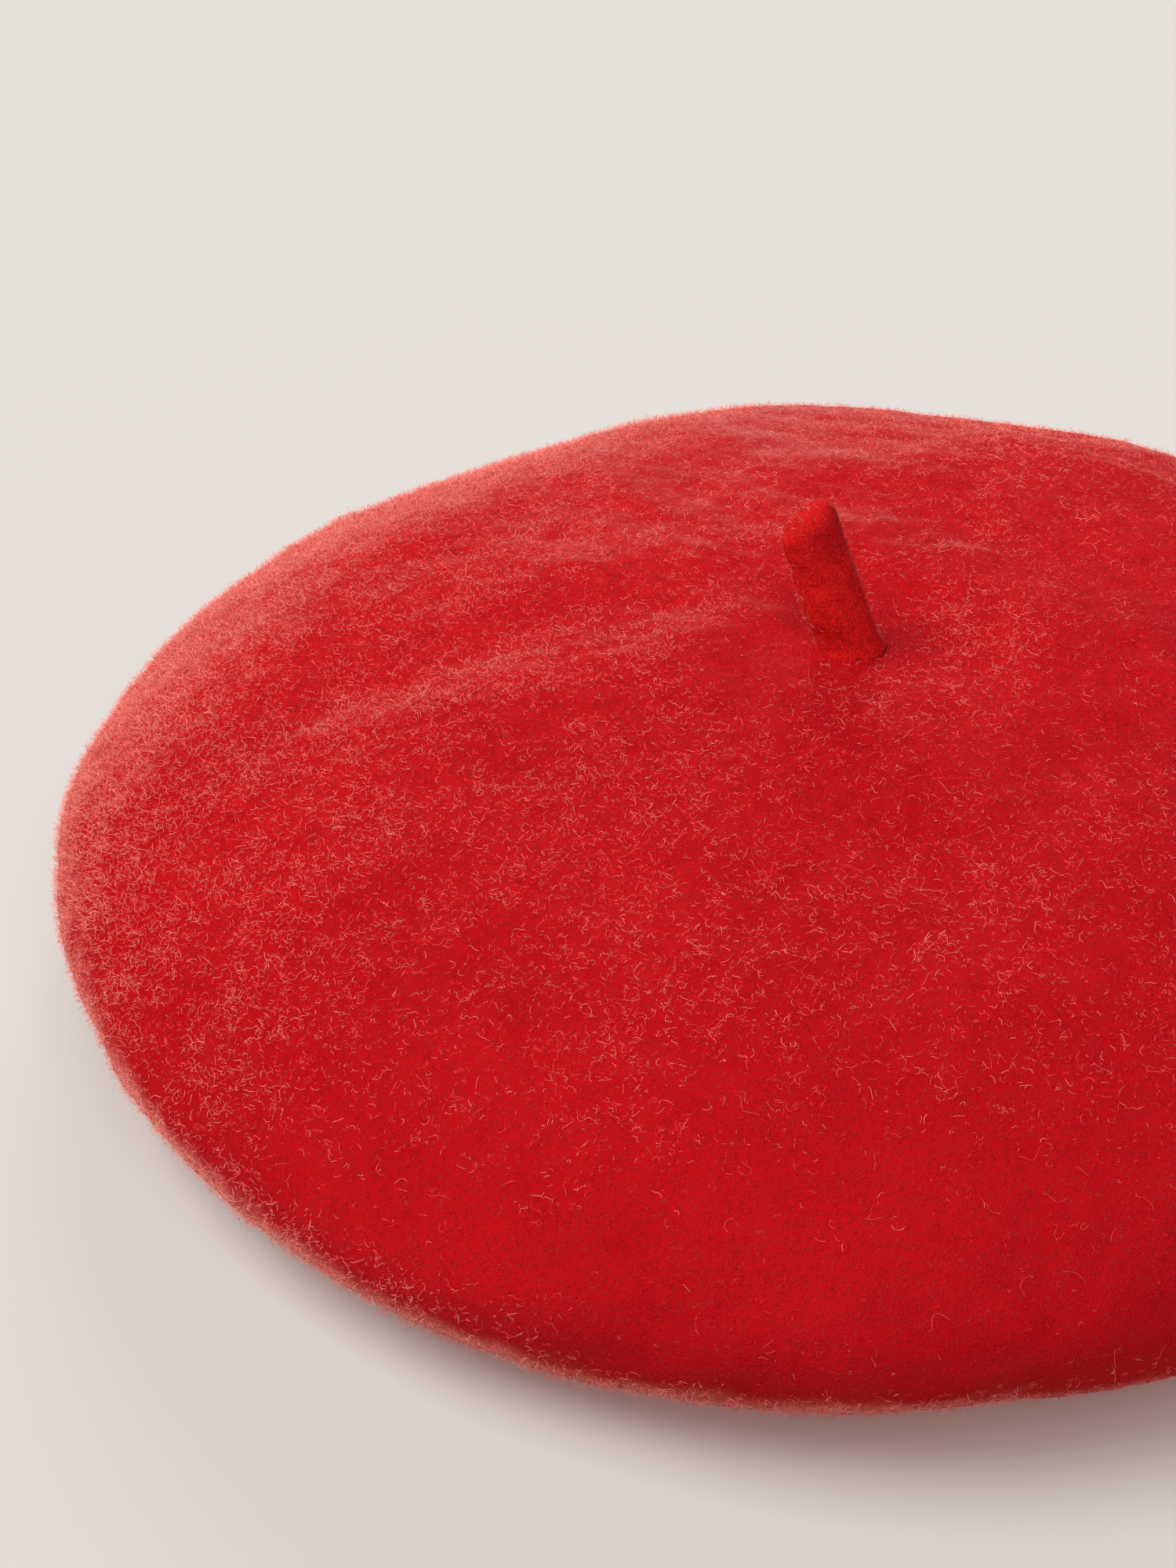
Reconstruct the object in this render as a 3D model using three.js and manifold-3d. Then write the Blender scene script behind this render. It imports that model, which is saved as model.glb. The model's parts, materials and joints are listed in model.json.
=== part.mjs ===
// A lined wool-felt beret with a short stalk on its crown, lying on its opening.
// Millimetres, +Z up. The origin is on the surface the hat lies on, under the middle of the crown.
// The front of the hat faces -Y. The back, with the sweatband's joint and the care label, faces +Y.

import * as THREE from 'three';
import { mergeVertices } from 'three/addons/utils/BufferGeometryUtils.js';
import Module from 'manifold-3d';

const wasm = await Module();
wasm.setup();

// ---- Driving dimensions ----

const TURN_STEPS = 48; // facets round the hat
const CLEAR = 0.3; // gap between pieces that touch

const HAT_RADIUS = 137.5;
const CROWN_HEIGHT = 57; // highest ring of the crown
const RIM_HEIGHT = 22; // height of the widest place
const FELT = 3; // thickness of the felt
const CROWN_POWER = 2.5; // how flat the crown is across the middle
const CROWN_ROUND = 2; // how round its shoulder is
const FOOT_RADIUS = 103; // the underside lies flat inside this radius
const OPENING_RADIUS = 91; // cut edge of the felt
const DIMPLE_DEPTH = 2; // dip in the middle of the crown
const DIMPLE_SPREAD = 20;
const ROOT_THICKENING = 1.5; // extra felt under the stalk

const STALK_X = -3.3; // the soft crown lies a little to one side of the rim
const STALK_BASE_RADIUS = 5.5;
const STALK_TIP_RADIUS = 4.8;
const STALK_REACH = 23.5; // from the centre of its round root to its tip
const STALK_SINK = 3.6; // how far the centre of the root is above the felt
const STALK_LEAN = THREE.MathUtils.degToRad(19); // to the left, -X
const STALK_STEPS = 24;

const BAND_RADIUS = 89.1; // inside of the sweatband, for a head of about 56 cm
const BAND_THICK = 1;
const BAND_TOP = 23;
const BAND_FOOT_RADIUS = 99;
const BAND_FOOT_Z = FELT + 0.4;
const HEM_DEPTH = 10; // how far the top hem turns down
const HEM_ROOM = 1.2; // inside width of the hem, where the elastic runs
const BAND_JOINT_GAP = 0.8;

const ELASTIC_THICK = 0.6;
const ELASTIC_WIDTH = 7;

const TAPE_THICK = 0.6;
const TAPE_INNER_RADIUS = 91;
const TAPE_OUTER_RADIUS = 98.6;

const SEAM_RADIUS = 95; // lockstitch round the opening
const THREAD = 0.6;
const SEAM_GROOVE = 1.1;

const LINING = 0.8; // thickness of the lining
const LINING_RADIUS = 131;
const LINING_CREST = 48;
const LINING_DIP = 2.7;
const LINING_FLOOR = 5.8;
const LINING_SEAM_RADIUS = 112;
const LINING_INNER_RADIUS = 93;

const KNOT_RADIUS = 5.5;
const KNOT_HALF_HEIGHT = 2.1;
const TACK_RADIUS = 8;

const LABEL_WIDTH = 50;
const LABEL_DEPTH = 24;
const LABEL_THICK = 0.5;
const LABEL_MARGIN = 1.5;

const CARE_WIDTH = 30;
const CARE_DROP = 26;
const CARE_THICK = 0.8;
const CARE_RADIUS = 109.6;
const CARE_TOP = 35.7;

const SIZE_TAB_WIDTH = 12;
const SIZE_TAB_DROP = 14;
const SIZE_TAB_THICK = 0.5;
const SIZE_TAB_TOP = 20.6;

const JOINT_TAB_WIDTH = 14;
const JOINT_TAB_THICK = 0.8;
const JOINT_TAB_LOW = 5;
const JOINT_TAB_HIGH = 21;

// ---- Materials ----

const material = (color, roughness) =>
  new THREE.MeshStandardMaterial({ color, roughness, metalness: 0 });

const felt = () => material(0xc41218, 0.95);
const leatherette = () => material(0x2a1614, 0.5);
const satin = () => material(0x8c1018, 0.35);
const thread = () => material(0x9a1016, 0.8);
const tape = () => material(0x1c1416, 0.85);
const rubberised = () => material(0xe8e2d8, 0.9);
const woven = () => material(0xe9e2d2, 0.6);

// ---- Geometry helpers ----

/** A profile of [radius, height] points, anticlockwise, turned about the Z axis. */
function turned(profile, steps = TURN_STEPS) {
  const points = profile.map(([radius, height]) => new THREE.Vector2(radius, height));
  return new THREE.LatheGeometry(points, steps).rotateX(Math.PI / 2);
}

/** The same for a section that closes on itself off the axis, which makes a ring. */
const ring = (profile, steps = TURN_STEPS) => turned([...profile, profile[0]], steps);

/** A ring with a rectangular section. */
const flatRing = (innerRadius, outerRadius, low, high) =>
  ring([[innerRadius, low], [outerRadius, low], [outerRadius, high], [innerRadius, high]]);

/** A rectangle with rounded corners, centred on x, from low to high, as a THREE.Shape. */
function roundedPlate(width, low, high, radius) {
  const half = width / 2;
  const shape = new THREE.Shape();
  shape.moveTo(-half + radius, low);
  shape.lineTo(half - radius, low);
  shape.absarc(half - radius, low + radius, radius, -Math.PI / 2, 0);
  shape.lineTo(half, high - radius);
  shape.absarc(half - radius, high - radius, radius, 0, Math.PI / 2);
  shape.lineTo(-half + radius, high);
  shape.absarc(-half + radius, high - radius, radius, Math.PI / 2, Math.PI);
  shape.lineTo(-half, low + radius);
  shape.absarc(-half + radius, low + radius, radius, Math.PI, Math.PI * 1.5);
  return shape;
}

/** A shape drawn in x and z, made solid along y and centred on y = 0. */
function uprightPlate(shape, thickness) {
  const options = { depth: thickness, bevelEnabled: false, curveSegments: 4 };
  return new THREE.ExtrudeGeometry(shape, options)
    .translate(0, 0, -thickness / 2)
    .rotateX(Math.PI / 2);
}

function solid(geometry) {
  const bare = geometry.clone();
  bare.deleteAttribute('normal');
  bare.deleteAttribute('uv');
  const merged = mergeVertices(bare, 1e-4);
  return new wasm.Manifold(new wasm.Mesh({
    numProp: 3,
    vertProperties: merged.attributes.position.array,
    triVerts: merged.index.array,
  }));
}

function geometryOf(manifold) {
  const mesh = manifold.getMesh();
  const geometry = new THREE.BufferGeometry();
  geometry.setAttribute('position', new THREE.BufferAttribute(mesh.vertProperties, 3));
  geometry.setIndex(new THREE.BufferAttribute(mesh.triVerts, 1));
  return geometry;
}

const cut = (body, tool) => geometryOf(solid(body).subtract(solid(tool)));
const common = (a, b) => geometryOf(solid(a).intersect(solid(b)));

// ---- Curved walls that the felt and the lining share ----

/** Height of a domed wall at a radius: a flattened dome with a soft dip in the middle. */
function domeHeight(radius, wall) {
  const across = Math.min(radius / wall.rim, 1);
  const rise = Math.pow(1 - Math.pow(across, CROWN_POWER), 1 / CROWN_ROUND);
  const dip = wall.dip * Math.exp(-Math.pow(radius / DIMPLE_SPREAD, 2));
  return RIM_HEIGHT + (wall.crest - RIM_HEIGHT) * rise - dip;
}

/** Points on a dome from one radius to another, closer together towards the rim. */
function domePoints(wall, fromRadius, toRadius, count) {
  const angleOf = (radius) => Math.asin(radius / wall.rim);
  const start = angleOf(fromRadius);
  const end = angleOf(toRadius);
  return Array.from({ length: count + 1 }, (_, i) => {
    const radius = wall.rim * Math.sin(start + ((end - start) * i) / count);
    return [radius, domeHeight(radius, wall)];
  });
}

/** Points on the quarter ellipse that tucks under the rim, from the rim to the flat foot. */
function tuckPoints(wall, count) {
  return Array.from({ length: count }, (_, i) => {
    const angle = ((i + 1) / count) * (Math.PI / 2);
    return [
      FOOT_RADIUS + (wall.rim - FOOT_RADIUS) * Math.cos(angle),
      RIM_HEIGHT - (RIM_HEIGHT - wall.floor) * Math.sin(angle),
    ];
  });
}

const feltOutside = { rim: HAT_RADIUS, crest: CROWN_HEIGHT, dip: DIMPLE_DEPTH, floor: 0 };
const feltInside = {
  rim: HAT_RADIUS - FELT,
  crest: CROWN_HEIGHT - FELT,
  dip: DIMPLE_DEPTH + ROOT_THICKENING,
  floor: FELT,
};
const liningOutside = {
  rim: LINING_RADIUS,
  crest: LINING_CREST,
  dip: LINING_DIP,
  floor: LINING_FLOOR,
};
const liningInside = {
  rim: LINING_RADIUS - LINING,
  crest: LINING_CREST - LINING,
  dip: LINING_DIP,
  floor: LINING_FLOOR + LINING,
};

const rootHeight = domeHeight(Math.abs(STALK_X), feltOutside) + STALK_SINK;

// ---- Pieces ----

/** The moulded felt shell, with the round seat of the stalk and the groove of the opening's seam. */
function feltBody() {
  const grooveIn = SEAM_RADIUS - THREAD;
  const grooveOut = SEAM_RADIUS + THREAD;
  const shell = turned([
    ...domePoints(feltInside, 0, feltInside.rim, 11),
    ...tuckPoints(feltInside, 5),
    [OPENING_RADIUS, FELT],
    [OPENING_RADIUS, 0],
    [grooveIn, 0],
    [grooveIn, SEAM_GROOVE],
    [grooveOut, SEAM_GROOVE],
    [grooveOut, 0],
    ...tuckPoints(feltOutside, 6).reverse(),
    ...domePoints(feltOutside, 0, feltOutside.rim, 14).reverse(),
  ]);
  const seat = new THREE.SphereGeometry(STALK_BASE_RADIUS + 0.4, STALK_STEPS, 14)
    .rotateX(Math.PI / 2)
    .translate(STALK_X, 0, rootHeight);
  return cut(shell, seat);
}

/** The stalk, upright, with the centre of its round root at the origin. */
function stalk() {
  const rootPoints = Array.from({ length: 7 }, (_, i) => {
    const angle = (i / 6) * (Math.PI / 2);
    return [STALK_BASE_RADIUS * Math.sin(angle), -STALK_BASE_RADIUS * Math.cos(angle)];
  });
  const shoulder = STALK_REACH - STALK_TIP_RADIUS;
  const tipPoints = Array.from({ length: 7 }, (_, i) => {
    const angle = (i / 6) * (Math.PI / 2);
    return [STALK_TIP_RADIUS * Math.cos(angle), shoulder + STALK_TIP_RADIUS * Math.sin(angle)];
  });
  return turned([...rootPoints, ...tipPoints], STALK_STEPS);
}

function stalkRootKnot() {
  const top = domeHeight(0, feltInside);
  return new THREE.SphereGeometry(KNOT_RADIUS, 20, 10)
    .rotateX(Math.PI / 2)
    .scale(1, 1, KNOT_HALF_HEIGHT / KNOT_RADIUS)
    .translate(STALK_X, 0, top - KNOT_HALF_HEIGHT - CLEAR);
}

function stalkTackThread() {
  const top = domeHeight(0, feltInside) - CLEAR;
  return flatRing(TACK_RADIUS - THREAD / 2, TACK_RADIUS + THREAD / 2, top - THREAD, top)
    .translate(STALK_X, 0, 0);
}

/** Leatherette strip: a foot on the felt, a wall, and a hem turned down behind it. */
function sweatband() {
  const wallOut = BAND_RADIUS + BAND_THICK;
  const hemIn = wallOut + HEM_ROOM;
  const hemOut = hemIn + BAND_THICK;
  const hemLow = BAND_TOP - HEM_DEPTH;
  const loop = ring([
    [BAND_RADIUS, BAND_FOOT_Z],
    [BAND_FOOT_RADIUS, BAND_FOOT_Z],
    [BAND_FOOT_RADIUS, BAND_FOOT_Z + BAND_THICK],
    [wallOut, BAND_FOOT_Z + BAND_THICK],
    [wallOut, BAND_TOP - BAND_THICK],
    [hemIn, BAND_TOP - BAND_THICK],
    [hemIn, hemLow],
    [hemOut, hemLow],
    [hemOut, BAND_TOP],
    [BAND_RADIUS, BAND_TOP],
  ]);
  const joint = new THREE.BoxGeometry(BAND_JOINT_GAP, 30, 60).translate(0, BAND_RADIUS, 0);
  return cut(loop, joint);
}

function sweatbandElastic() {
  const middle = BAND_RADIUS + BAND_THICK + HEM_ROOM / 2;
  const top = BAND_TOP - BAND_THICK - 0.5;
  return flatRing(middle - ELASTIC_THICK / 2, middle + ELASTIC_THICK / 2, top - ELASTIC_WIDTH, top);
}

/** A small tab that follows the sweatband's inside and covers its butted ends. */
function sweatbandJointTab() {
  const outer = BAND_RADIUS - CLEAR;
  const strip = flatRing(outer - JOINT_TAB_THICK, outer, JOINT_TAB_LOW, JOINT_TAB_HIGH);
  const outline = roundedPlate(JOINT_TAB_WIDTH, JOINT_TAB_LOW, JOINT_TAB_HIGH, 2.5);
  return common(strip, uprightPlate(outline, 20).translate(0, BAND_RADIUS, 0));
}

function openingStayTape() {
  const low = BAND_FOOT_Z + BAND_THICK + 0.4;
  return flatRing(TAPE_INNER_RADIUS, TAPE_OUTER_RADIUS, low, low + TAPE_THICK);
}

function openingSeamThread() {
  return flatRing(SEAM_RADIUS - THREAD / 2, SEAM_RADIUS + THREAD / 2, 0.25, 0.25 + THREAD);
}

/** Satin disc under the crown. */
function liningCrown() {
  const edge = LINING_SEAM_RADIUS - CLEAR;
  return turned([
    ...domePoints(liningInside, 0, edge, 6),
    ...domePoints(liningOutside, 0, edge, 6).reverse(),
  ]);
}

/** Satin ring from the disc's edge, round inside the rim, to the opening's seam. */
function liningSide() {
  return ring([
    ...domePoints(liningInside, LINING_SEAM_RADIUS, liningInside.rim, 5),
    ...tuckPoints(liningInside, 4),
    [LINING_INNER_RADIUS, liningInside.floor],
    [LINING_INNER_RADIUS, liningOutside.floor],
    ...tuckPoints(liningOutside, 4).reverse(),
    ...domePoints(liningOutside, LINING_SEAM_RADIUS, liningOutside.rim, 5).reverse(),
  ]);
}

function liningSeamThread() {
  const outer = LINING_SEAM_RADIUS + THREAD / 2;
  const top = domeHeight(outer, liningInside) - CLEAR;
  return flatRing(outer - THREAD, outer, top - THREAD, top);
}

const labelTop = domeHeight(0, liningInside) - CLEAR;

/** Blank woven label, flat under the middle of the lining. */
function makerLabel() {
  return new THREE.BoxGeometry(LABEL_WIDTH, LABEL_DEPTH, LABEL_THICK)
    .translate(0, 0, labelTop - LABEL_THICK / 2);
}

/** One closed line of stitches just inside the label's edge. */
function makerLabelStitching() {
  const high = labelTop - LABEL_THICK - CLEAR;
  const plate = (inset, thickness) =>
    new THREE.BoxGeometry(LABEL_WIDTH - 2 * inset, LABEL_DEPTH - 2 * inset, thickness)
      .translate(0, 0, high - THREAD / 2);
  return cut(plate(LABEL_MARGIN, THREAD), plate(LABEL_MARGIN + THREAD, 2 * THREAD));
}

/** A hanging label whose top edge is at the origin's height. */
function hangingLabel(width, drop, thickness) {
  return uprightPlate(roundedPlate(width, -drop, 0, Math.min(1.5, thickness * 2)), thickness);
}

// ---- The hat ----

const hat = new THREE.Group();

function add(parent, name, geometry, look) {
  const mesh = new THREE.Mesh(geometry, look);
  mesh.name = name;
  parent.add(mesh);
  return mesh;
}

add(hat, 'felt_body', feltBody(), felt());

const stalkGroup = new THREE.Group();
stalkGroup.position.set(STALK_X, 0, rootHeight);
stalkGroup.rotation.set(0, -STALK_LEAN, 0);
add(stalkGroup, 'stalk', stalk(), felt());
hat.add(stalkGroup);

add(hat, 'stalk_root_knot', stalkRootKnot(), thread());
add(hat, 'stalk_tack_thread', stalkTackThread(), thread());

add(hat, 'sweatband', sweatband(), leatherette());
add(hat, 'sweatband_elastic', sweatbandElastic(), rubberised());
add(hat, 'sweatband_joint_tab', sweatbandJointTab(), leatherette());
add(hat, 'opening_stay_tape', openingStayTape(), tape());
add(hat, 'opening_seam_thread', openingSeamThread(), thread());

add(hat, 'lining_crown', liningCrown(), satin());
add(hat, 'lining_side', liningSide(), satin());
add(hat, 'lining_seam_thread', liningSeamThread(), thread());

add(hat, 'maker_label', makerLabel(), woven());
add(hat, 'maker_label_stitching', makerLabelStitching(), thread());

const careLabel = add(hat, 'care_label', hangingLabel(CARE_WIDTH, CARE_DROP, CARE_THICK), woven());
careLabel.position.set(0, CARE_RADIUS, CARE_TOP);

const tabRadius = BAND_RADIUS - 0.6 - SIZE_TAB_THICK / 2;
const sizeTab = add(
  hat,
  'size_tab',
  hangingLabel(SIZE_TAB_WIDTH, SIZE_TAB_DROP, SIZE_TAB_THICK),
  woven(),
);
sizeTab.position.set(tabRadius, 0, SIZE_TAB_TOP);
sizeTab.rotation.set(0, 0, Math.PI / 2);

export default hat;
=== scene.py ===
"""A lined red wool-felt beret lying on its opening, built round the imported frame.

Metres, +Z up, front towards -Y.
"""

import json
import math

import bpy
import numpy as np
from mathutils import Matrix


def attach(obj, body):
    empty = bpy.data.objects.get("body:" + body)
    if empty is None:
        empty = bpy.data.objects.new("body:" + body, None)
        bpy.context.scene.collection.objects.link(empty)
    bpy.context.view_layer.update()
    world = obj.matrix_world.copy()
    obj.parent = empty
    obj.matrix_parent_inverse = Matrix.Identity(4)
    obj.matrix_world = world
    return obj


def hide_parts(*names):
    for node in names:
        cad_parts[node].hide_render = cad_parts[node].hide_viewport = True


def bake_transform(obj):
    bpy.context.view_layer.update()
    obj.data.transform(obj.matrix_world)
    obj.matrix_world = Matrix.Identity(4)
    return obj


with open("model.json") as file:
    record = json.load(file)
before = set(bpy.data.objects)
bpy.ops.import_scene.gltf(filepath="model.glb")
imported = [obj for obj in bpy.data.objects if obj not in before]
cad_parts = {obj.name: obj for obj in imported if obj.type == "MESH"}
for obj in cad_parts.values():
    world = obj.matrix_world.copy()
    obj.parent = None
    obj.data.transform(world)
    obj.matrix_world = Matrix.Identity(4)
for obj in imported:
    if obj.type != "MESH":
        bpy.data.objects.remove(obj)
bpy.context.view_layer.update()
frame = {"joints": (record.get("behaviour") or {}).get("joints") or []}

MM = 0.001
HAT = "hat"
CARE_LABEL = "care_label"
SIZE_TAB = "size_tab"
HINGES = {joint["name"]: joint["pos_m"] for joint in frame["joints"]}
ROOT_X, ROOT_Y, ROOT_Z = HINGES["stalk_lean"]  # where the stalk bends


# ---- Driving dimensions, the same as the CAD's ----

RIM_RADIUS = 137.5 * MM
RIM_HEIGHT = 22 * MM
CROWN_HEIGHT = 57 * MM
FELT = 3 * MM
CROWN_POWER = 2.5
FOOT_RADIUS = 103 * MM
OPENING_RADIUS = 91 * MM
SEAM_RADIUS = 95 * MM
DIMPLE_DEPTH = 2 * MM
DIMPLE_SPREAD = 20 * MM
ROOT_THICKENING = 1.5 * MM

LINING_RADIUS = 130.6 * MM
LINING_CREST = 47.6 * MM
LINING_DIP = 2.7 * MM
LINING_FLOOR = 6.2 * MM
LINING_SEAM_RADIUS = 112 * MM
LINING_INNER_RADIUS = 93 * MM
SATIN = 0.35 * MM

BAND_INNER_RADIUS = 89.1 * MM
LEATHERETTE = 0.9 * MM

# How the soft hat lies: round inside the first radius, and fully out of round outside the second.
SLUMP_FROM = 95 * MM
SLUMP_TO = 135 * MM
ROOT_QUIET = 15 * MM  # no swells this close to the stalk
# Each line: waves round the rim, share of the radius, direction in degrees.
OUT_OF_ROUND = ((2, 0.0223, 53), (3, 0.0068, -41), (4, 0.0102, -16), (5, 0.0024, -13))

# Low swells and hollows of the crown: from, to, half width, height.
SWELLS = (
    ((-88 * MM, -6 * MM), (-34 * MM, 16 * MM), 13 * MM, -1.6 * MM),
    ((-95 * MM, -32 * MM), (-30 * MM, -8 * MM), 14 * MM, 0.9 * MM),
    ((6 * MM, 58 * MM), (62 * MM, 14 * MM), 12 * MM, -1.5 * MM),
    ((-6 * MM, 40 * MM), (42 * MM, -6 * MM), 12 * MM, 0.8 * MM),
)


# ---- The camera ----

FOCAL_PX = 3400
PHOTO_WIDTH_PX = 1500
SENSOR_MM = 36
CAMERA_DISTANCE = 469.7 * MM
CAMERA_ELEVATION = math.radians(33.4)
CAMERA_AIM = (-46.5 * MM, 0, 26.6 * MM)


def make_camera():
    data = bpy.data.cameras.new("camera")
    data.sensor_fit = "HORIZONTAL"
    data.sensor_width = SENSOR_MM
    data.lens = FOCAL_PX / PHOTO_WIDTH_PX * SENSOR_MM
    data.clip_start = 0.01
    camera = bpy.data.objects.new("camera", data)
    bpy.context.scene.collection.objects.link(camera)
    back = CAMERA_DISTANCE * math.cos(CAMERA_ELEVATION)
    up = CAMERA_DISTANCE * math.sin(CAMERA_ELEVATION)
    camera.location = (CAMERA_AIM[0], CAMERA_AIM[1] - back, CAMERA_AIM[2] + up)
    camera.rotation_euler = (math.pi / 2 - CAMERA_ELEVATION, 0, 0)
    bpy.context.scene.camera = camera


# ---- Smooth fields over space, the same on every run ----


def smooth(low, high, value):
    t = np.clip((value - low) / (high - low), 0, 1)
    return t * t * (3 - 2 * t)


def unit(vectors):
    return vectors / (np.linalg.norm(vectors, axis=-1, keepdims=True) + 1e-12)


def ripple(points, wavelength, seed, waves=40):
    """A smooth random field of about unit size, whose bumps are about a wavelength apart."""
    rng = np.random.default_rng(seed)
    aim = unit(rng.normal(size=(waves, points.shape[1])))
    pitch = wavelength * rng.uniform(0.7, 1.5, waves)
    phase = rng.uniform(0, 2 * math.pi, waves)
    total = np.zeros(len(points))
    for direction, length, start in zip(aim, pitch, phase):
        total += np.cos(points @ direction * (2 * math.pi / length) + start)
    return total * math.sqrt(2 / waves)


def bump_along(x, y, start, end, width):
    """1 on the line from start to end, falling off over width to each side and past the ends."""
    (ax, ay), (bx, by) = start, end
    dx, dy = bx - ax, by - ay
    along = np.clip(((x - ax) * dx + (y - ay) * dy) / (dx * dx + dy * dy), 0, 1)
    away = np.hypot(x - ax - along * dx, y - ay - along * dy)
    return np.exp(-((away / width) ** 2))


def slumped(points):
    """How the soft hat lies: the rim a little out of round, and low swells and hollows on the crown."""
    x, y, z = points.T.copy()
    angle = np.arctan2(y, x)
    loose = smooth(SLUMP_FROM, SLUMP_TO, np.hypot(x, y))
    grow = np.ones(len(points))
    for waves, share, towards in OUT_OF_ROUND:
        grow += share * loose * np.cos(waves * (angle - math.radians(towards)))
    away = np.hypot(x - ROOT_X, y - ROOT_Y)
    lift = 0.5 * MM * ripple(points[:, :2], 70 * MM, 11)
    for start, end, width, depth in SWELLS:
        lift += depth * bump_along(x, y, start, end, width)
    lift *= smooth(20 * MM, 46 * MM, z) * (1 - np.exp(-((away / ROOT_QUIET) ** 2)))
    lift += 0.5 * MM * ripple(points[:, :2], 90 * MM, 12) * loose * smooth(0, 12 * MM, z)
    return np.c_[x * grow, y * grow, z + lift]


# ---- Mesh helpers ----


def new_mesh(name, vertices, faces, materials, choice=None):
    """faces is a list of (count, corner index) arrays, one for each number of corners."""
    mesh = bpy.data.meshes.new(name)
    mesh.vertices.add(len(vertices))
    mesh.vertices.foreach_set("co", np.ascontiguousarray(vertices, np.float32).ravel())
    sizes = np.concatenate([np.full(len(f), f.shape[1], np.int32) for f in faces])
    corners = np.concatenate([f.ravel() for f in faces]).astype(np.int32)
    starts = np.concatenate([[0], np.cumsum(sizes)[:-1]]).astype(np.int32)
    mesh.loops.add(len(corners))
    mesh.polygons.add(len(sizes))
    mesh.loops.foreach_set("vertex_index", corners)
    mesh.polygons.foreach_set("loop_start", starts)
    mesh.polygons.foreach_set("use_smooth", np.full(len(sizes), True))
    for material in materials:
        mesh.materials.append(material)
    if choice is not None:
        mesh.polygons.foreach_set("material_index", np.concatenate(choice).astype(np.int32))
    mesh.update(calc_edges=True)
    mesh.validate()
    thing = bpy.data.objects.new(name, mesh)
    bpy.context.scene.collection.objects.link(thing)
    return thing


def lattice(rows, columns, wrap_rows=False, wrap_columns=True):
    """Faces that join the points of a grid, numbered row by row."""
    row, column = np.meshgrid(
        np.arange(rows if wrap_rows else rows - 1),
        np.arange(columns if wrap_columns else columns - 1),
        indexing="ij",
    )
    after = (column + 1) % columns
    here = row * columns
    above = (row + 1) % rows * columns
    corners = [here + column, here + after, above + after, above + column]
    return np.stack(corners, axis=-1).reshape(-1, 4)


def capped(name, rings, first, last, materials):
    """A closed skin over rings of points (rows, steps, 3), shut by one point at each end."""
    rows, steps, _ = rings.shape
    vertices = np.vstack([rings.reshape(-1, 3), first, last])
    turn = np.arange(steps)
    after = (turn + 1) % steps
    start_fan = np.stack([np.full(steps, rows * steps), after, turn], axis=-1)
    end = (rows - 1) * steps
    end_fan = np.stack([np.full(steps, rows * steps + 1), end + turn, end + after], axis=-1)
    return new_mesh(name, vertices, [lattice(rows, steps), start_fan, end_fan], materials)


def around(profile, angle):
    """Every (radius, height) of a profile at every angle: (rows, steps, 3)."""
    profile = np.asarray(profile, float)
    radius = profile[:, None, 0]
    height = np.repeat(profile[:, None, 1], len(angle), axis=1)
    return np.stack([radius * np.cos(angle), radius * np.sin(angle), height], axis=-1)


def full_turn(steps):
    return np.linspace(0, 2 * math.pi, steps, endpoint=False)


def turned_solid(name, profile, steps, materials, shape):
    """A profile from the axis round to the axis, anticlockwise, turned about Z."""
    grid = around(profile, full_turn(steps))
    bent = shape(grid.reshape(-1, 3)).reshape(grid.shape)
    return capped(name, bent[1:-1], bent[0].mean(axis=0), bent[-1].mean(axis=0), materials)


def turned_ring(name, profile, steps, materials, shape):
    """A closed profile off the axis, anticlockwise, turned about Z."""
    vertices = shape(around(profile, full_turn(steps)).reshape(-1, 3))
    return new_mesh(name, vertices, [lattice(len(profile), steps, True, True)], materials)


def turned_strip(name, profile, start, end, steps, materials, shape):
    """A closed profile turned from one angle to another, with flat ends."""
    rows = len(profile)
    vertices = shape(around(profile, np.linspace(start, end, steps)).reshape(-1, 3))
    first = np.arange(rows)[None] * steps
    last = first[:, ::-1] + steps - 1
    return new_mesh(name, vertices, [lattice(rows, steps, True, False), first, last], materials)


def rounded(points):
    """A path with its corners cut, ends kept."""
    points = np.asarray(points, float)
    for _ in range(3):
        near = 0.75 * points[:-1] + 0.25 * points[1:]
        far = 0.25 * points[:-1] + 0.75 * points[1:]
        inner = np.stack([near, far], axis=1).reshape(-1, points.shape[1])
        points = np.vstack([points[:1], inner, points[-1:]])
    return points


def outline(path, thickness, end_steps=4):
    """The closed outline, anticlockwise, of a strip of that thickness along a path, with round ends."""
    path = np.asarray(path, float)
    along = unit(np.gradient(path, axis=0)) * thickness / 2
    right = np.c_[along[:, 1], -along[:, 0]]
    turn = np.linspace(0, math.pi, end_steps + 2)[1:-1, None]
    far = path[-1] + right[-1] * np.cos(turn) + along[-1] * np.sin(turn)
    near = path[0] - right[0] * np.cos(turn) - along[0] * np.sin(turn)
    return np.vstack([path + right, far, (path - right)[::-1], near])


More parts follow.
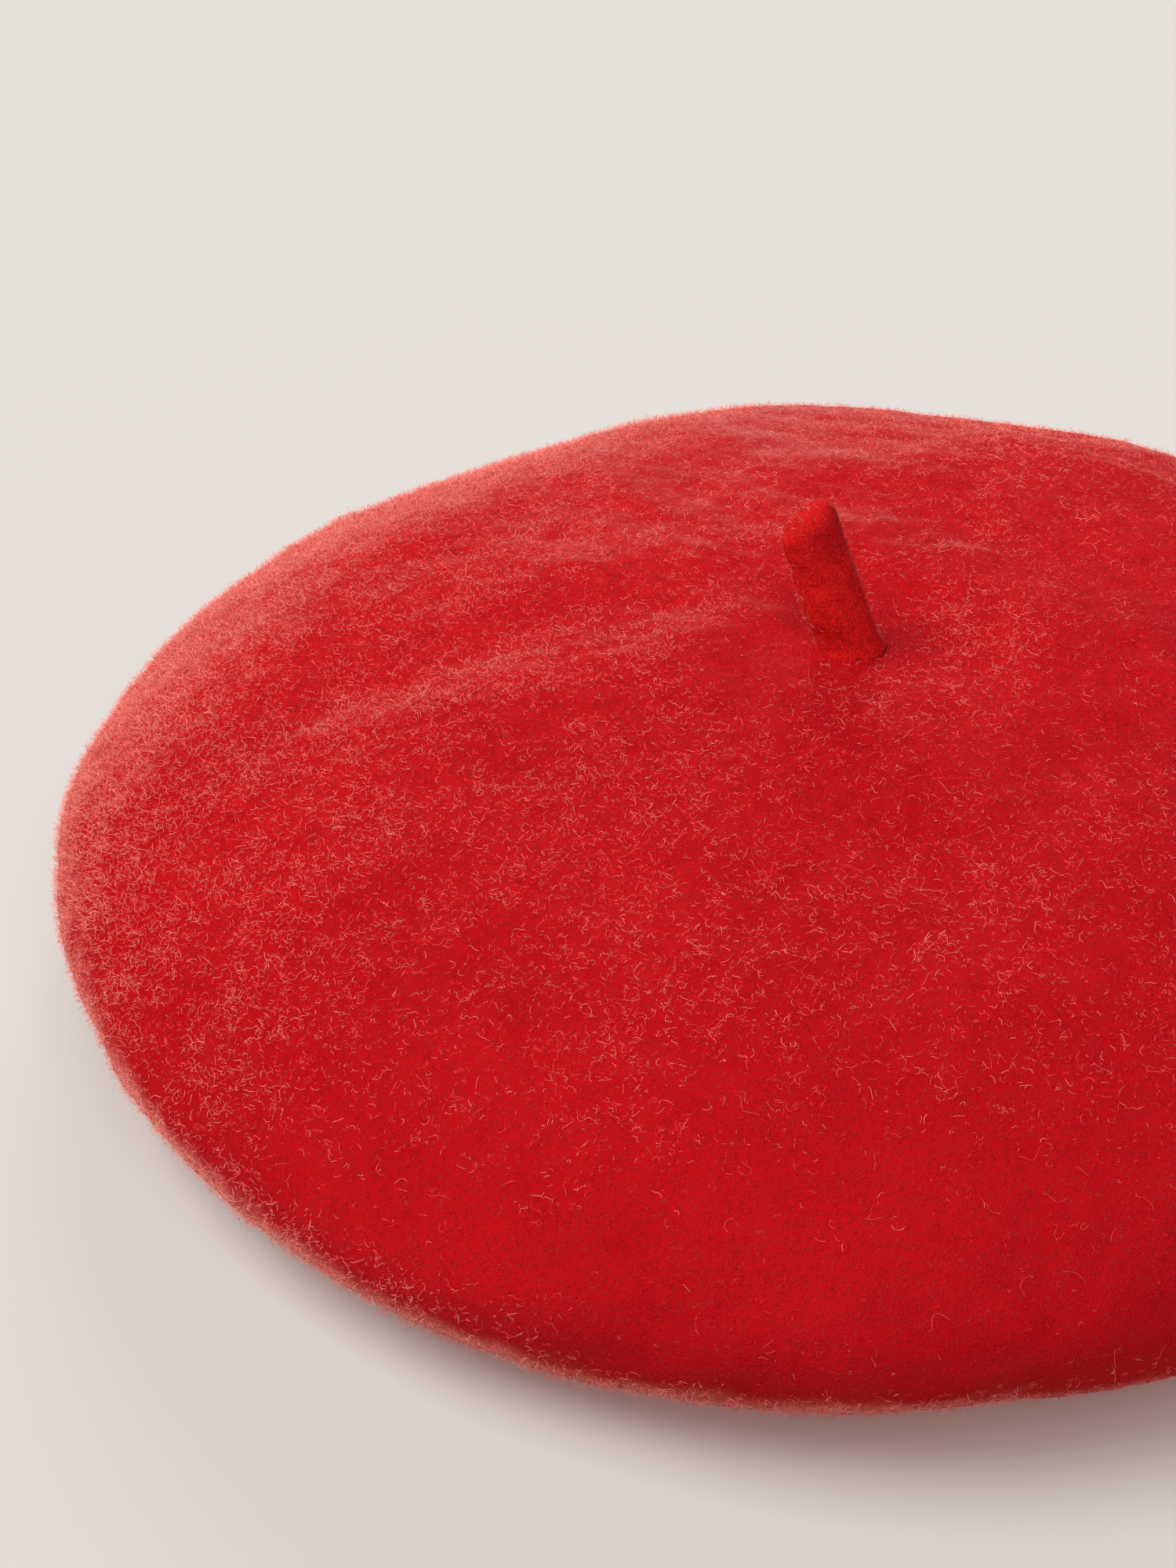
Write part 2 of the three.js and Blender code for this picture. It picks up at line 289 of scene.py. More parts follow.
def slab(name, middle, thickness, materials):
    """A thin sheet of that thickness about a grid of points (rows, columns, 3), thinner at its edges."""
    rows, columns, _ = middle.shape
    normal = unit(np.cross(np.gradient(middle, axis=1), np.gradient(middle, axis=0)))
    half = np.broadcast_to(np.asarray(thickness, float) / 2, (rows, columns)).copy()
    half[[0, -1]] *= 0.6
    half[:, [0, -1]] *= 0.6
    front = middle + normal * half[..., None]
    back = middle - normal * half[..., None]
    number = np.arange(rows * columns).reshape(rows, columns)
    rim = np.concatenate([number[0], number[1:, -1], number[-1, -2::-1], number[-2:0:-1, 0]])
    ahead = np.roll(rim, -1)
    behind = rows * columns
    faces = lattice(rows, columns, False, False)
    edge = np.stack([rim, rim + behind, ahead + behind, ahead], axis=-1)
    vertices = np.concatenate([front.reshape(-1, 3), back.reshape(-1, 3)])
    return new_mesh(name, vertices, [faces[:, ::-1], faces + behind, edge], materials)


def strands(name, paths, radii, sides, materials, look=None):
    """Thin closed strands, one for each row of paths (count, points, 3). Each end comes to a point."""
    count, points, _ = paths.shape
    radii = np.broadcast_to(np.asarray(radii, float).reshape(count, -1), (count, points))
    tangent = unit(np.gradient(paths, axis=1))
    u = unit(np.cross(tangent, np.array([0.31, 0.53, 0.79])))
    v = np.cross(tangent, u)
    turn = full_turn(sides)
    inner = slice(1, points - 1)
    spokes = u[:, inner, None] * np.cos(turn)[:, None] + v[:, inner, None] * np.sin(turn)[:, None]
    rings = paths[:, inner, None] + spokes * radii[:, inner, None, None]
    each = 2 + (points - 2) * sides
    vertices = np.concatenate([paths[:, :1], rings.reshape(count, -1, 3), paths[:, -1:]], axis=1)
    side = np.arange(sides)
    after = (side + 1) % sides
    last_ring = 1 + (points - 3) * sides
    root = np.stack([np.zeros(sides, int), 1 + after, 1 + side], axis=-1)
    tip = np.stack([np.full(sides, each - 1), last_ring + side, last_ring + after], axis=-1)
    wall = 1 + lattice(points - 2, sides)
    base = (np.arange(count) * each)[:, None, None]
    triangles = (np.concatenate([root, tip])[None] + base).reshape(-1, 3)
    quads = (wall[None] + base).reshape(-1, 4)
    choice = None
    if look is not None:
        choice = [np.repeat(look, 2 * sides), np.repeat(look, len(wall))]
    return new_mesh(name, vertices.reshape(-1, 3), [triangles, quads], materials, choice)


def closed_tube(name, path, radius, sides, materials):
    """A tube along a closed path that is nowhere upright."""
    tangent = unit(np.roll(path, -1, axis=0) - np.roll(path, 1, axis=0))
    across = unit(np.cross(tangent, np.array([0, 0, 1.0])))
    up = np.cross(across, tangent)
    turn = full_turn(sides)[:, None]
    rings = path[:, None] + radius * (across[:, None] * np.cos(turn) + up[:, None] * np.sin(turn))
    faces = lattice(len(path), sides, True, True)[:, ::-1]
    return new_mesh(name, rings.reshape(-1, 3), [faces], materials)


def belongs(piece, body, slot, *nodes):
    """Which body a piece rides on, and the CAD nodes that it stands for; slot, its material slot in the
    record, is not used.
    """
    if body:
        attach(piece, body)
    if nodes:
        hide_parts(*nodes)
    return piece


# ---- Materials ----


class Look:
    """A material with one Principled shader, and short calls that add nodes to it."""

    def __init__(self, name, **fixed):
        self.material = bpy.data.materials.new(name)
        self.material.use_nodes = True
        self.tree = self.material.node_tree
        self.shader = self.tree.nodes["Principled BSDF"]
        self.set(**fixed)
        self.place = self.tree.nodes.new("ShaderNodeTexCoord").outputs["Object"]

    def put(self, socket, value):
        if isinstance(value, bpy.types.NodeSocket):
            self.tree.links.new(value, socket)
        elif isinstance(value, tuple) and len(value) == 3 and len(socket.default_value) == 4:
            socket.default_value = (*value, 1)
        else:
            socket.default_value = value

    def node(self, kind, out, *values, **settings):
        """Adds a node, sets it, fills its first inputs, and returns one of its outputs."""
        node = self.tree.nodes.new(kind)
        for key, value in settings.items():
            setattr(node, key, value)
        for socket, value in zip(node.inputs, values):
            if value is not None:
                self.put(socket, value)
        return node.outputs[out]

    def noise(self, size, detail=2.0, at=None, shift=0.0, out="Fac", rough=0.5):
        """A noise whose blobs are about size metres across."""
        values = (at or self.place, shift, 1 / size, detail, rough)
        return self.node("ShaderNodeTexNoise", out, *values, noise_dimensions="4D")

    def cells(self, size, at):
        """Distance from the edges of irregular cells of about that size, as in leather grain."""
        return self.node("ShaderNodeTexVoronoi", "Distance", at, None, 1 / size, feature="DISTANCE_TO_EDGE")

    def math(self, kind, a, b=0.0, c=0.0):
        return self.node("ShaderNodeMath", 0, a, b, c, operation=kind)

    def span(self, value, low, high, to_low=0.0, to_high=1.0):
        return self.node(
            "ShaderNodeMapRange", 0, value, low, high, to_low, to_high, interpolation_type="SMOOTHSTEP"
        )

    def mix(self, share, a, b):
        unused = [None] * 5  # the inputs for numbers and vectors
        return self.node("ShaderNodeMix", 2, share, *unused, a, b, data_type="RGBA")

    def axis(self, index):
        return self.node("ShaderNodeSeparateXYZ", index, self.place)

    def angle(self):
        """The angle about the hat's axis, in radians."""
        return self.math("ARCTAN2", self.axis(1), self.axis(0))

    def bands(self, value, pitch):
        """0 to 1 and back over each pitch of value."""
        turn = self.math("MULTIPLY", value, 2 * math.pi / pitch)
        return self.math("MULTIPLY_ADD", self.math("SINE", turn), 0.5, 0.5)

    def shifted(self, by, size):
        """The place, pushed about by a noise, which bends what is drawn there."""
        push = self.noise(size, 1.0, out="Color")
        return self.node("ShaderNodeVectorMath", 0, push, (by,) * 3, self.place, operation="MULTIPLY_ADD")

    def threads(self, size, width, at, shift, mask):
        """Curly lines, broken up so that they look like separate fibres."""
        lines = self.math("ABSOLUTE", self.math("SUBTRACT", self.noise(size, 1.0, at, shift), 0.5))
        drawn = self.span(lines, 0.0, width, 1.0, 0.0)
        gaps = self.span(self.noise(size * 1.7, 0.0, at, shift + 7.3), mask - 0.05, mask + 0.08)
        return self.math("MULTIPLY", drawn, gaps)

    def bump(self, height, distance, strength):
        normal = self.tree.nodes.new("ShaderNodeBump")
        normal.inputs["Strength"].default_value = strength
        normal.inputs["Distance"].default_value = distance
        self.put(normal.inputs["Height"], height)
        self.put(self.shader.inputs["Normal"], normal.outputs[0])

    def set(self, **links):
        for key, value in links.items():
            self.put(self.shader.inputs[key.replace("_", " ")], value)
        return self.material


DEEP_RED = (0.19, 0.001, 0.0025)
RED = (0.385, 0.0018, 0.004)
WARM_RED = (0.43, 0.003, 0.0055)
PALE_RED = (0.70, 0.07, 0.06)
FELT_SHEEN = (1.0, 0.40, 0.33)


def felt_look(name, red=RED, warm=WARM_RED, bloom=1.0):
    """Felted wool: mottled and pitted, with painted shade in its hollows, at the front and on the stalk's
    tip, painted light at the back, pale curls painted as sheen, and a pale bloom where it is seen along its
    surface.
    """
    look = Look(name, Sheen_Roughness=0.45, Sheen_Tint=FELT_SHEEN, Specular_IOR_Level=0.06)
    bent = look.shifted(0.5 * MM, 1.0 * MM)
    patches = look.noise(26 * MM, 3.0, shift=2.0)
    mottle = look.noise(3.2 * MM, 4.0, shift=5.0, rough=0.6)
    pits = look.noise(0.32 * MM, 2.0, bent, 9.0)
    curls = look.math(
        "MAXIMUM",
        look.threads(0.9 * MM, 0.03, bent, 1.0, 0.5),
        look.threads(0.55 * MM, 0.04, bent, 3.0, 0.52),
    )
    tufts = look.span(look.noise(7 * MM, 3.0, shift=12.0, rough=0.6), 0.38, 0.62, 0.25, 1.0)
    # Painted light: the felt's red runs from a darker tone at the front to a lighter one at the back, painted
    # shade in front and painted light behind.
    shaded_front, lit_back = (
        look.mix(look.span(patches, 0.3, 0.7), tuple(share * c for c in red), tuple(share * c for c in warm))
        for share in (0.91, 1.18)
    )
    ground = look.mix(look.span(look.axis(1), -130 * MM, 60 * MM), shaded_front, lit_back)
    # Painted shade: the mottle and the pits darken the felt where its bump is low, in its hollows, less
    # towards the front.
    hollow_shade_share = look.span(look.axis(1), -130 * MM, 0, 0.3, 1.0)
    for dark in (look.span(mottle, 0.45, 0.72, 0.0, 0.3), look.span(pits, 0.35, 0.6, 0.62, 0.0)):
        ground = look.mix(look.math("MULTIPLY", dark, hollow_shade_share), ground, DEEP_RED)
    # Painted shade: the felt darkens towards DEEP_RED from 70 to 81 mm up, over the stalk's tip.
    ground = look.mix(look.span(look.axis(2), 70 * MM, 81 * MM, 0.0, 0.4), ground, DEEP_RED)
    # Pale curls drawn into the colour: the felt's fibres, painted paler than the felt as painted sheen.
    colour = look.mix(look.math("MULTIPLY", look.math("MULTIPLY", curls, tufts), 0.2), ground, PALE_RED)
    height = look.math("MULTIPLY_ADD", curls, 0.6, pits)
    height = look.math("MULTIPLY_ADD", mottle, -0.6, height)
    look.bump(height, 0.2 * MM, 0.8)
    along = look.node("ShaderNodeLayerWeight", "Facing", 0.5)
    along = look.math("SUBTRACT", along, look.span(look.axis(0), -30 * MM, 50 * MM, 0.0, 0.22))
    haze = look.span(along, 0.5, 0.88, 0.0, bloom)
    haze = look.math("MULTIPLY", haze, look.span(pits, 0.3, 0.6, 0.4, 1.0))
    return look.set(Base_Color=colour, Roughness=look.span(mottle, 0.3, 0.7, 0.88, 1.0), Sheen_Weight=haze)


def fibre_look(name, colour):
    look = Look(name, Base_Color=colour, Specular_IOR_Level=0.25)
    return look.set(Roughness=look.span(look.noise(2 * MM, 1.0), 0.3, 0.7, 0.45, 0.7))


def thread_look(name, colour, dark):
    look = Look(name, Specular_IOR_Level=0.3, Sheen_Weight=0.2)
    aslant = look.math("ADD", look.math("ADD", look.axis(0), look.axis(1)), look.axis(2))
    twist = look.bands(aslant, 0.45 * MM)
    worn = look.noise(3 * MM, 2.0)
    look.bump(look.math("MULTIPLY_ADD", worn, 0.4, twist), 0.06 * MM, 0.8)
    tone = look.mix(look.span(worn, 0.3, 0.7), colour, dark)
    # Painted shade: darker in the grooves of the twist.
    return look.set(Base_Color=look.mix(look.span(twist, 0.0, 0.5, 0.5, 0.0), tone, dark), Roughness=0.75)


def leatherette_look():
    look = Look("dark_leatherette", Specular_IOR_Level=0.5, Coat_Weight=0.05)
    bent = look.shifted(0.8 * MM, 1.5 * MM)
    grain = look.span(look.cells(1.1 * MM, bent), 0.0, 0.22)
    fine = look.noise(0.35 * MM, 2.0, shift=4.0)
    worn = look.noise(14 * MM, 3.0, shift=6.0)
    look.bump(look.math("MULTIPLY_ADD", fine, 0.25, grain), 0.14 * MM, 0.9)
    tone = look.mix(look.span(worn, 0.35, 0.7), (0.035, 0.016, 0.012), (0.062, 0.030, 0.022))
    # Painted shade: darker in the creases of the grain.
    creases = look.math("MULTIPLY", look.math("SUBTRACT", 1.0, grain), 0.6)
    colour = look.mix(creases, tone, (0.014, 0.007, 0.006))
    rough = look.math("MULTIPLY_ADD", worn, 0.25, look.span(grain, 0.0, 1.0, 0.5, 0.32))
    return look.set(Base_Color=colour, Roughness=rough)


def satin_look(name, colour, deep):
    """Fine threads, with a soft shine that runs along them."""
    look = Look(name, Specular_IOR_Level=0.6, Sheen_Weight=0.25, Anisotropic=0.5)
    weave = look.bands(look.angle(), math.radians(0.22))
    slub = look.noise(9 * MM, 4.0, shift=3.0, rough=0.65)
    specks = look.noise(0.5 * MM, 1.0, shift=8.0)
    look.bump(look.math("MULTIPLY_ADD", specks, 0.5, weave), 0.03 * MM, 0.5)
    colour = look.mix(look.span(slub, 0.3, 0.7, 0.0, 0.7), colour, deep)
    # Painted shade: darker between the threads of the weave.
    colour = look.mix(look.span(weave, 0.0, 0.4, 0.35, 0.0), colour, deep)
    return look.set(Base_Color=colour, Roughness=look.span(slub, 0.3, 0.7, 0.28, 0.42))


def ribbed_look(name, colour, dark, pitch, crossing, roughness):
    """A ribbed tape: ribs across it, at a pitch in radians, and crossing lines at a pitch in metres."""
    look = Look(name, Specular_IOR_Level=0.25, Sheen_Weight=0.3)
    ribs = look.bands(look.angle(), pitch)
    lines = look.bands(look.axis(2), crossing)
    dust = look.noise(5 * MM, 4.0, rough=0.7)
    height = look.math("MULTIPLY_ADD", lines, 0.4, ribs)
    look.bump(height, 0.12 * MM, 0.9)
    tone = look.mix(look.span(dust, 0.35, 0.7), colour, tuple(0.75 * c for c in colour))
    # Painted shade: darker in the valleys between the ribs.
    return look.set(Base_Color=look.mix(look.span(ribs, 0.0, 0.5, 0.7, 0.0), tone, dark), Roughness=roughness)


def label_look(name):
    """Blank woven label: fine crosswise ribs in a cream yarn."""
    look = Look(name, Specular_IOR_Level=0.4, Sheen_Weight=0.3)
    ribs = look.bands(look.math("ADD", look.axis(2), look.axis(1)), 0.42 * MM)
    warp = look.bands(look.axis(0), 0.6 * MM)
    slub = look.noise(4 * MM, 4.0, shift=1.0, rough=0.7)
    look.bump(look.math("MULTIPLY_ADD", warp, 0.5, ribs), 0.05 * MM, 0.9)
    tone = look.mix(look.span(slub, 0.3, 0.7), (0.80, 0.74, 0.62), (0.70, 0.63, 0.50))
    # Painted shade: darker in the valleys between the ribs.
    colour = look.mix(look.span(ribs, 0.0, 0.4, 0.5, 0.0), tone, (0.50, 0.43, 0.33))
    return look.set(Base_Color=colour, Roughness=0.55)


FELT_LOOK = felt_look("red_wool_felt")
# Painted light: the stalk's felt is a lighter red than the crown's, to brighten the stalk.
STALK_LOOK = felt_look("red_wool_felt_rolled", (0.68, 0.011, 0.010), (0.74, 0.013, 0.011), 0.25)
# The pale fibres' salmon colour is painted sheen on red wool.
FIBRE_LOOKS = [
    fibre_look("wool_fibre_red", (0.55, 0.006, 0.008)),
    fibre_look("wool_fibre_rose", (0.97, 0.11, 0.09)),
    fibre_look("wool_fibre_pale", (1.0, 0.31, 0.25)),
]
RED_THREAD = thread_look("red_thread", (0.42, 0.012, 0.020), (0.20, 0.004, 0.008))
DARK_THREAD = thread_look("dark_thread", (0.05, 0.022, 0.018), (0.02, 0.009, 0.008))
LEATHERETTE_LOOK = leatherette_look()
SATIN_LOOK = satin_look("deep_red_satin", (0.30, 0.006, 0.014), (0.16, 0.003, 0.008))
LABEL_LOOK = label_look("cream_woven_label")


# ---- Stitches ----

# Each row: how many, their thickness, how far they stand up, their thread and the CAD node, if any.
STITCH_ROWS = {
    "band_hem_stitches": (186, 0.32 * MM, 0.12 * MM, DARK_THREAD),
    "joint_tab_stitches": (26, 0.3 * MM, 0.1 * MM, DARK_THREAD),
    "opening_stitches": (176, 0.5 * MM, 0.22 * MM, RED_THREAD, "opening_seam_thread"),
    "lining_stitches": (234, 0.36 * MM, 0.15 * MM, RED_THREAD, "lining_seam_thread"),
    "maker_label_stitches": (60, 0.32 * MM, 0.14 * MM, RED_THREAD, "maker_label_stitching"),
}
STITCH_FILLS = 0.82  # of the pitch


def sew(name, line, lift):
    """A row of separate stitches along line(share), each one an arc that stands up along lift(share)."""
    count, thickness, rise, thread, *nodes = STITCH_ROWS[name]
    t = np.linspace(0, 1, 8)
    share = (np.arange(count)[:, None] + 0.5 + (t - 0.5) * STITCH_FILLS) / count
    path = line(share.ravel()).reshape(count, len(t), 3)
    arch = (np.sin(math.pi * t) ** 0.6 * rise)[None, :, None]
    path = path + lift(share.ravel()).reshape(count, len(t), 3) * arch
    radius = thickness / 2 * np.clip(np.sin(math.pi * (0.12 + 0.76 * t)) * 1.6, 0, 1)
    belongs(strands(name, path, np.tile(radius, (count, 1)), 8, [thread]), HAT, "thread", *nodes)


# ---- The felt body ----


def dome(radius, rim, crest, dip):
    rise = np.sqrt(1 - np.clip(radius / rim, 0, 1) ** CROWN_POWER)
    return RIM_HEIGHT + (crest - RIM_HEIGHT) * rise - dip * np.exp(-((radius / DIMPLE_SPREAD) ** 2))


def dome_points(rim, crest, dip, start, end, count):
    """From start to end radius, closer together towards the rim."""
    angle = np.linspace(math.asin(start / rim), math.asin(end / rim), count)
    radius = rim * np.sin(angle)
    return np.c_[radius, dome(radius, rim, crest, dip)]


def tuck_points(rim, floor, count):
    """From just under the rim to the flat foot."""
    angle = np.linspace(0, math.pi / 2, count + 1)[1:]
    radius = FOOT_RADIUS + (rim - FOOT_RADIUS) * np.cos(angle)
    return np.c_[radius, RIM_HEIGHT - (RIM_HEIGHT - floor) * np.sin(angle)]


SEAM_GROOVE = 1.0 * MM
GROOVE_HALF_WIDTH = 0.9 * MM
FLAT_END = FOOT_RADIUS - 1.5 * MM  # where the flat foot begins to curve up
# Points along the felt's section: on the crown, on the tuck under it and on the flat foot.
INSIDE_POINTS = (26, 10, 6)
OUTSIDE_POINTS = (130, 44, 41)
EDGE_POINTS = 9
FELT_STEPS = 460  # round the hat


def felt_profile():
    inner_rim = RIM_RADIUS - FELT
    inner_dip = DIMPLE_DEPTH + ROOT_THICKENING
    inside = dome_points(inner_rim, CROWN_HEIGHT - FELT, inner_dip, 0, inner_rim, INSIDE_POINTS[0])
    inside_tuck = tuck_points(inner_rim, FELT, INSIDE_POINTS[1])
    outside_tuck = tuck_points(RIM_RADIUS, 0, OUTSIDE_POINTS[1])[::-1]
    outside = dome_points(RIM_RADIUS, CROWN_HEIGHT, DIMPLE_DEPTH, 0, RIM_RADIUS, OUTSIDE_POINTS[0])[::-1]
    turn = np.linspace(math.pi / 2, 3 * math.pi / 2, EDGE_POINTS)
    half = FELT / 2
    edge = np.c_[OPENING_RADIUS + half + half * np.cos(turn), half + half * np.sin(turn)]
    inner_flat = np.linspace(FLAT_END, OPENING_RADIUS + 2 * half, INSIDE_POINTS[2])
    outer_flat = np.linspace(OPENING_RADIUS + 2 * half, FLAT_END, OUTSIDE_POINTS[2])
    groove = SEAM_GROOVE * np.exp(-(((outer_flat - SEAM_RADIUS) / (0.7 * GROOVE_HALF_WIDTH)) ** 4))
    flats = [np.c_[inner_flat, np.full(len(inner_flat), FELT)], edge, np.c_[outer_flat, groove]]
    return np.vstack([inside, inside_tuck, *flats, outside_tuck, outside])


def shaped_felt(points):
    """The slump, then the felt's own uneven surface, pushed outwards from the middle of the hat."""
    radius = np.hypot(points[:, 0], points[:, 1])
    up = np.clip((points[:, 2] - RIM_HEIGHT) / (CROWN_HEIGHT - RIM_HEIGHT), -1, 1)
    out = np.c_[points[:, :2] / (radius[:, None] + 1e-9) * np.sqrt(1 - up**2)[:, None], up]
    rough = 0.22 * ripple(points, 34 * MM, 21) + 0.13 * ripple(points, 13 * MM, 22)
    rough += 0.06 * ripple(points, 5 * MM, 23, 60)
    rough *= smooth(1 * MM, 8 * MM, points[:, 2])
    return slumped(points) + out * (rough * MM)[:, None]


def make_felt_body():
    shell = turned_solid("felt_shell", felt_profile(), FELT_STEPS, [FELT_LOOK], shaped_felt)
    return belongs(shell, HAT, "felt", "felt_body")


# ---- Wool fibres ----


def read(collection, key, kind, width):
    values = np.empty(len(collection) * width, kind)
    collection.foreach_get(key, values)
    return values.reshape(-1, width)


def surface_samples(thing, count, rng, weight):
    """Random points and normals on an object's mesh. weight gives the share at each triangle's middle."""
    mesh = thing.data
    mesh.calc_loop_triangles()
    corners = read(mesh.loop_triangles, "vertices", np.int32, 3)
    points = read(mesh.vertices, "co", np.float32, 3).astype(float)
    normals = read(mesh.vertices, "normal", np.float32, 3).astype(float)
    a, b, c = (points[corners[:, i]] for i in range(3))
    area = np.linalg.norm(np.cross(b - a, c - a), axis=1)
    chance = area * weight((a + b + c) / 3, normals[corners].mean(axis=1))
    pick = rng.choice(len(corners), count, p=chance / chance.sum())
    s, t = rng.random(count), rng.random(count)
    over = s + t > 1
    s[over], t[over] = 1 - s[over], 1 - t[over]
    share = np.stack([1 - s - t, s, t], axis=1)[:, :, None]
    at = (points[corners[pick]] * share).sum(axis=1)
    return at, unit((normals[corners[pick]] * share).sum(axis=1))


def curled(at, normal, rng, length, lift, free, curl, points):
    """Paths of curly fibres. Free ones end in the air at their lift, and the others come back down."""
    count = len(at)
    side = unit(np.cross(normal, rng.normal(size=(count, 3))))
    across = np.cross(normal, side)
    s = np.linspace(0, 1, points)
    bend = rng.normal(0, 1.7, (count, 1)) + rng.normal(0, 1.4, (count, 1)) * np.sin(2 * math.pi * s)[None]
    turn = (curl * bend * s[None])[..., None]
    heading = np.cos(turn) * side[:, None] + np.sin(turn) * across[:, None]
    step = (length / (points - 1))[:, None, None] * heading
    path = np.cumsum(step, axis=1) - step[:, :1]
    rise = s**1.4 if free else np.sin(math.pi * s)
    wave = 0.25 * rng.normal(size=(count, points)) * np.sin(math.pi * s)[None]
    height = lift[:, None] * (rise[None] + wave) - SUNK
    return at[:, None] + path + normal[:, None] * height[:, :, None]


# The nap stands up on this side, the side towards the key light, and is brushed flat on the other. More of
# its fibres are pale on this side: painted sheen.
NAP_LIT_AND_LIFTED = unit(np.array([-0.8, 0.42, 0.5]))
# The share of raised fibres: anywhere, where the nap has worked loose, and where it stands up.
RAISED_ANYWHERE = 0.008
RAISED_LOOSE = 0.19
RAISED_STANDING = 0.7
FIBRES_PER_LONG_ONE = 400
# The fibres' lengths, heights and radii, from and to, in millimetres.
FLAT_LENGTHS, FLAT_HEIGHTS, FLAT_RADII = (0.4, 1.6), (0.03, 0.2), (0.02, 0.04)
CURL_RADII = (0.018, 0.032)
LONG_LENGTHS, LONG_HEIGHTS, LONG_RADIUS = (2.5, 6.0), (0.5, 2.2), 0.022
SUNK = 0.06 * MM  # how far a fibre's ends are in the felt


def standing_share(at, normal):
    """How much of the nap stands up: on the side towards the key light, along the rim's left edge, below it
    and at the back. The more it stands, the more of its raised fibres are pale: painted sheen.
    """
    left_rim_edge = smooth(0.6, 0.1, normal[:, 2]) * smooth(-40 * MM, -95 * MM, at[:, 0])
    below = smooth(-0.1, -0.5, normal[:, 2]) * smooth(80 * MM, -60 * MM, at[:, 0])
    behind = smooth(50 * MM, 100 * MM, at[:, 1])
    lit_side = smooth(0.34, 0.85, normal @ NAP_LIT_AND_LIFTED)
    return np.maximum.reduce([lit_side, 0.85 * left_rim_edge, 0.9 * below, 0.5 * behind])


def loose_share(at):
    """How much of the nap has worked loose across the front of the crown."""
    x, y, _ = at.T
    return smooth(-125 * MM, -92 * MM, y) * smooth(-15 * MM, -65 * MM, y) * smooth(-100 * MM, -40 * MM, x)


def fibres(name, paths, radius, look, pieces):
    """Fibres with a radius and the number of a look each, shared out between some pieces."""
    split = np.array_split(np.arange(len(paths)), pieces)
    return [
        strands(f"{name}_{i + 1}", paths[part], radius[part], 3, FIBRE_LOOKS, look[part])
        for i, part in enumerate(split)
    ]


def nap(name, thing, count, seed, weight, pieces=(1, 1, 1), lift=1.0, bloom=1.0):
    """Wool fibres all over a felt surface: short red flat ones, pale raised curls and a few long ones.

    lift is how high they stand, and bloom how many are raised or pale, both 1 for the crown.
    """
    rng = np.random.default_rng(seed)
    at, normal = surface_samples(thing, count, rng, weight)
    stands = standing_share(at, normal)
    more = RAISED_LOOSE * loose_share(at) + RAISED_STANDING * stands
    raised = rng.random(count) < RAISED_ANYWHERE + bloom * more

    flat = ~raised
    low = flat.sum()
    length = rng.uniform(*FLAT_LENGTHS, low) * MM
    tall = rng.uniform(*FLAT_HEIGHTS, low) * lift * MM
    paths = curled(at[flat], normal[flat], rng, length, tall, False, 1, 4)
    # Painted light: the brighter rose fibres grow more common towards the back.
    rose = rng.random(low) < bloom * (0.01 + 0.09 * smooth(-135 * MM, -20 * MM, at[flat, 1]))
    radius = rng.uniform(*FLAT_RADII, low) * MM
    made = fibres(f"{name}_flat", paths, radius, rose.astype(int), pieces[0])

    high, stands = raised.sum(), stands[raised]
    length = (0.8 + 2.2 * rng.random(high) ** 1.3) * (0.5 + 0.5 * lift) * MM
    tall = (0.15 + 0.85 * rng.random(high) ** 1.3) * (0.8 + 0.8 * stands) * lift * MM
    paths = curled(at[raised], normal[raised], rng, length, tall, True, 1.5, 6)
    # Painted sheen: raised fibres are more often pale where the nap stands, most on the lit side.
    pale = 1 + (rng.random(high) < 0.3 + 0.5 * stands)
    radius = rng.uniform(*CURL_RADII, high) * MM
    made += fibres(f"{name}_curls", paths, radius, pale, pieces[1])

    few = count // FIBRES_PER_LONG_ONE
    length = rng.uniform(*LONG_LENGTHS, few) * MM
    tall = rng.uniform(*LONG_HEIGHTS, few) * lift * MM
    paths = curled(at[:few], normal[:few], rng, length, tall, True, 1, 9)
    # Painted sheen: the raised long fibres are pale.
    pale = np.where(raised[:few], 2, 1)
    return made + fibres(f"{name}_long", paths, np.full(few, LONG_RADIUS * MM), pale, pieces[2])


def crown_weight(middle, normal):
    """Thicker and thinner places in the nap, little of it under the hat, and none inside."""
    clumps = 0.2 * ripple(middle, 12 * MM, 31)
    clumps += 0.3 * ripple(middle, 4.5 * MM, 32, 60) + 0.5 * ripple(middle, 2 * MM, 33, 80)
    even = smooth(0.4, 0.85, normal @ NAP_LIT_AND_LIFTED)
    patchy = 0.1 + 0.6 * even + (0.9 - 0.3 * even) * smooth(-1.1, 1.3, clumps)
    radial = unit(middle[:, :2])
    outward = (normal[:, :2] * radial).sum(axis=1) + 0.5 * normal[:, 2] * np.sign(middle[:, 2] - RIM_HEIGHT)
    low = smooth(1 * MM, 7 * MM, middle[:, 2])
    return np.where(outward > 0, patchy * low, 0)


NAP_PIECES = (13, 11, 1)  # for the flat fibres, the curls and the long ones
NAP_FIBRES = 240000


def make_nap(shell):
    for piece in nap("felt_nap", shell, NAP_FIBRES, 41, crown_weight, NAP_PIECES):
        belongs(piece, HAT, "felt")


# ---- The stalk ----

STALK_BASE = 5.5 * MM
STALK_TOP = 5.15 * MM
STALK_LENGTH = 23.5 * MM  # from the hinge to the tip
STALK_ROOT = 5.4 * MM  # from the hinge down into the felt
STALK_LEAN = math.radians(19)
STALK_FLARE = 0.6 * MM
STALK_SLANT = 0.36  # of the cut across its tip
STALK_FLATNESS = 0.93  # depth over width
STALK_BOW = -0.2 * MM
STALK_ROUNDING = 4.2 * MM
STALK_STEPS = 72
STALK_ROWS = 96
STALK_FIBRES = 3500


